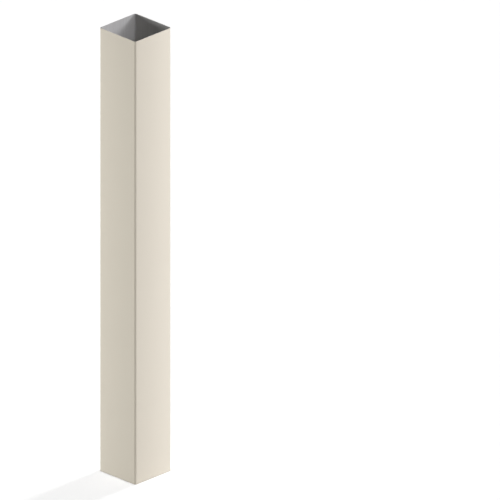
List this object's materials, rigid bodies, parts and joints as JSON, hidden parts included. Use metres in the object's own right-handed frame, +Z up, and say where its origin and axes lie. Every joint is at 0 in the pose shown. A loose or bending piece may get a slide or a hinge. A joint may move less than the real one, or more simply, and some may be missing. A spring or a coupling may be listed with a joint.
{
  "type": "porch column wrap",
  "caption": "Square hollow wrap of thin painted sheet for a wooden porch post, in two folded halves that snap together, open at the head and the foot.",
  "frame": {"origin": "middle of the square foot, on the floor", "axes": "+Z up the wrap, from foot to head; the faces lie along X and Y, and the front corner, between the two faces with no joint, points to +X and -Y"},
  "size_m": [0.147, 0.147, 1.4],
  "materials": {
    "painted_sheet": "satin baked paint, pale sandstone outside, with a thin grey wash coat inside"
  },
  "bodies": {
    "root": {"front_half": "painted_sheet", "back_half": "painted_sheet"}
  },
  "joints": []
}
